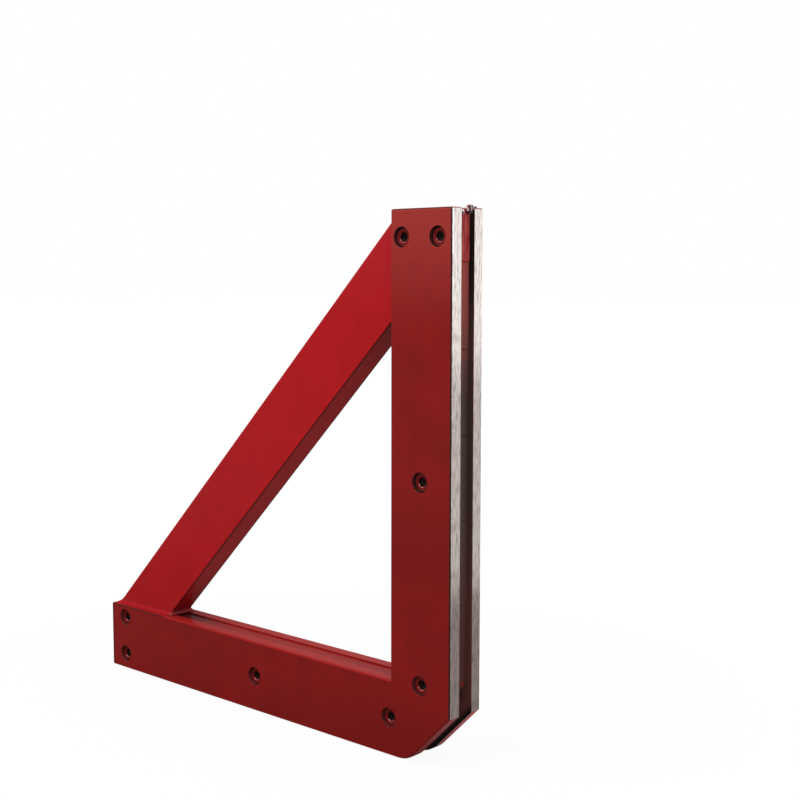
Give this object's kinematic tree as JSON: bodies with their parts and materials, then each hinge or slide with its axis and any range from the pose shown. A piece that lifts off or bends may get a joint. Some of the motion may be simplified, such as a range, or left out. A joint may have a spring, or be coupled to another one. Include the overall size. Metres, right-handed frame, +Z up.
{
  "type": "right-angle welding magnet",
  "caption": "Right-angle magnetic welding holder: L-shaped pole plates screwed over rows of magnets, with a welded diagonal brace that serves as handle.",
  "frame": {"origin": "centre of the bounding box's bottom face: below the middle of the horizontal leg, on the bottom working face, midway between the side plates", "axes": "+Z up along the vertical leg, +X out of the vertical working face, +Y from the front plate with the screw heads to the rear plate"},
  "size_m": [0.3, 0.026, 0.3],
  "materials": {
    "painted_steel": "gloss red paint; the working edges of the two side plates are ground bare",
    "painted_screws": "steel cap screws, painted over in red",
    "ferrite": "unpainted dark brown-black ferrite"
  },
  "bodies": {
    "root": {"front_plate": "painted_steel", "rear_plate": "painted_steel", "diagonal_brace": "painted_steel", "upper_brace_weld": "painted_steel", "lower_brace_weld": "painted_steel", "vertical_end_block": "painted_steel", "horizontal_end_block": "painted_steel", "vertical_end_weld": "painted_steel", "horizontal_end_weld": "painted_steel", "vertical_closing_bar": "painted_steel", "horizontal_closing_bar": "painted_steel", "cap_screws": "painted_screws", "vertical_magnet_1": "ferrite", "vertical_magnet_2": "ferrite", "vertical_magnet_3": "ferrite", "vertical_magnet_4": "ferrite", "vertical_magnet_5": "ferrite", "horizontal_magnet_1": "ferrite", "horizontal_magnet_2": "ferrite", "horizontal_magnet_3": "ferrite", "horizontal_magnet_4": "ferrite", "horizontal_magnet_5": "ferrite"}
  },
  "joints": []
}
